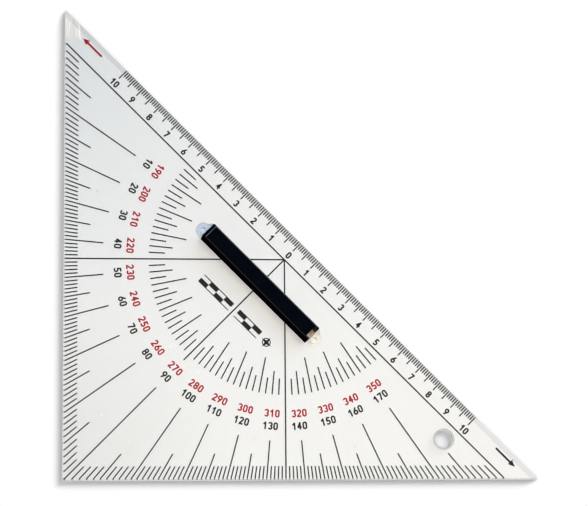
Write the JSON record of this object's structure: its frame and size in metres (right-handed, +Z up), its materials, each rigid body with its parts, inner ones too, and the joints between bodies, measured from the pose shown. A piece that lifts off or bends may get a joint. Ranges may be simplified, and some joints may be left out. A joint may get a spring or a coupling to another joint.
{
  "type": "navigation protractor triangle",
  "caption": "Clear right-angled plotting triangle with a bevelled long edge, printed centimetre and degree scales, a hang hole and a press-in black bar handle.",
  "frame": {"origin": "middle of the long edge, where its centimetre scale reads 0, at the resting plane under the ink bosses", "axes": "+X and +Y run along the two short edges, away from the right angle; +Z points up through the plate to the handle"},
  "size_m": [0.1914, 0.1914, 0.0147],
  "materials": {
    "clear_plate": "clear polished acrylic",
    "clear_handle": "clear moulded acrylic",
    "black_grip": "glossy black moulded plastic",
    "black_ink": "screen-printed black ink",
    "red_ink": "screen-printed red ink"
  },
  "bodies": {
    "triangle": {"plate": "clear_plate", "centimetre_ticks": "black_ink", "centimetre_numerals": "black_ink", "degree_ticks": "black_ink", "degree_numerals": "black_ink", "reciprocal_numerals": "red_ink", "point_ticks": "black_ink", "base_lines": "black_ink", "red_arrow": "red_ink", "black_arrow": "black_ink", "emblem": "black_ink"},
    "handle": {"handle_base": "clear_handle", "grip_sleeve": "black_grip"}
  },
  "joints": [
    {"name": "handle_lift", "type": "slide", "parent": "triangle", "child": "handle", "axis": [0, 0, 1], "range_m": [0, 0.03]}
  ]
}
